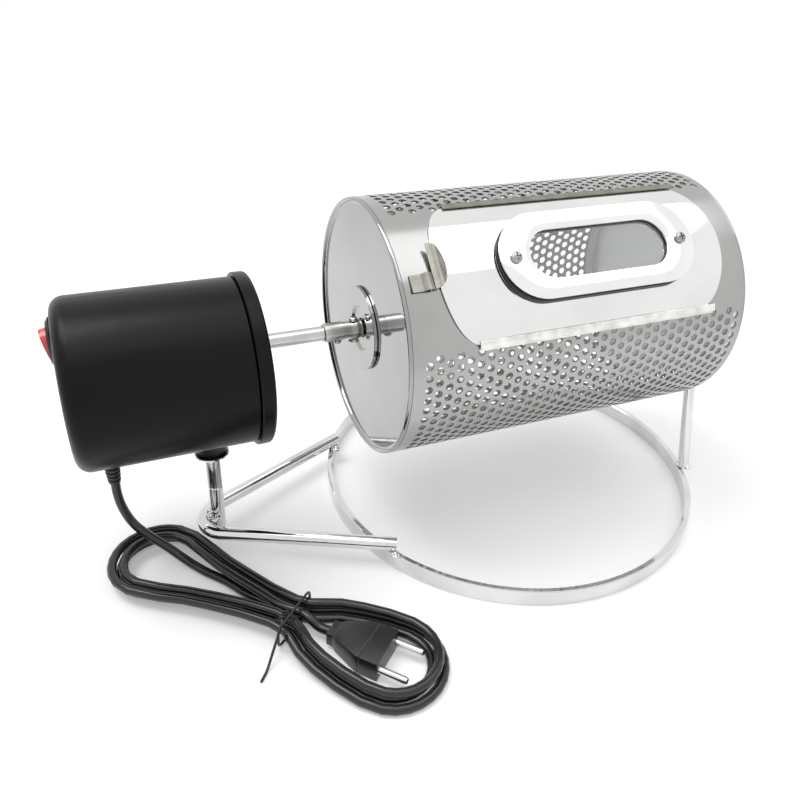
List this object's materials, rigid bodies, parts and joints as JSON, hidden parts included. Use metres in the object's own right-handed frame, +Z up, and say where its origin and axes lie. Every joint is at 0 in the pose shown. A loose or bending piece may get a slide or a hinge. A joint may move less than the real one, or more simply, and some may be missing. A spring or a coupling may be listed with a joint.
{
  "type": "home coffee bean roaster",
  "caption": "Coffee bean roaster: perforated steel drum with a sliding windowed door, turned by a geared motor in a round black casing on a chrome ring stand, mains cord tied in a hank.",
  "frame": {"origin": "on the floor under the middle of the machine without its cord", "axes": "+X along the drum from the motor to the far end, +Y to the back, +Z up"},
  "size_m": [0.3828, 0.2685, 0.1963],
  "materials": {
    "polished_steel": "mirror polished stainless sheet",
    "chrome": "bright plated rod",
    "matte_steel": "matte olive grey",
    "zinc_plate": "dull plated",
    "black_plastic": "semi gloss",
    "black_rubber": "satin",
    "seal_rubber": "matt",
    "cord_sheath": "glossy sheath",
    "red_plastic": "gloss",
    "glass": "clear",
    "brass": "turned"
  },
  "bodies": {
    "stand": {"base_ring": "chrome", "v_frame": "chrome", "motor_post": "chrome", "post_washer": "chrome", "mounting_boss": "black_plastic", "rear_frame": "chrome", "axle_saddle": "matte_steel", "motor_housing": "black_plastic", "housing_cover": "black_plastic", "gearbox": "zinc_plate", "synchronous_motor": "zinc_plate", "motor_screw_left": "chrome", "motor_screw_right": "chrome", "output_bush": "brass", "switch_bezel": "black_plastic", "cord_relief": "black_rubber", "cord_lead": "cord_sheath", "cord_hank": "cord_sheath", "cord_tail": "cord_sheath", "mains_plug": "black_rubber", "plug_pin_left": "chrome", "plug_pin_right": "chrome", "cord_tie": "cord_sheath"},
    "drum": {"drive_shaft": "polished_steel", "coupling_sleeve": "polished_steel", "cross_bolt": "zinc_plate", "near_axle": "polished_steel", "far_axle": "polished_steel", "near_cap": "polished_steel", "far_cap": "polished_steel", "near_hub": "polished_steel", "far_hub": "polished_steel", "drum_shell": "polished_steel", "rail_top": "matte_steel", "rail_bottom": "matte_steel", "vane_back": "polished_steel", "vane_front": "polished_steel", "latch_strip": "matte_steel"},
    "door": {"door_plate": "polished_steel", "window_gasket": "seal_rubber", "window_glass": "glass", "window_spacer": "polished_steel", "window_frame": "polished_steel", "window_bolt_left": "chrome", "window_bolt_right": "chrome"},
    "latch": {"latch_tab": "matte_steel"},
    "rocker": {"switch_rocker": "red_plastic"},
    "set_screw": {"coupling_screw": "zinc_plate"}
  },
  "joints": [
    {"name": "drum_spin", "type": "hinge", "parent": "stand", "child": "drum", "pos_m": [0, 0, 0.1255], "axis": [-1, 0, 0], "continuous": true},
    {"name": "door_slide", "type": "slide", "parent": "drum", "child": "door", "axis": [-1, 0, 0], "range_m": [-0.095, 0]},
    {"name": "latch_lift", "type": "hinge", "parent": "drum", "child": "latch", "pos_m": [-0.01742, -0.05036, 0.17675], "axis": [0, -0.7133, -0.7009], "range_deg": [0, 22], "stiffness_Nm_per_rad": 0.5, "springref_deg": -5.73},
    {"name": "switch_tip", "type": "hinge", "parent": "stand", "child": "rocker", "pos_m": [-0.18497, 0, 0.1416], "axis": [0, 1, 0], "range_deg": [0, 24]},
    {"name": "set_screw_turn", "type": "hinge", "parent": "drum", "child": "set_screw", "pos_m": [-0.04677, 0, 0.1197], "axis": [0, 0, -1], "range_deg": [0, 360]}
  ]
}
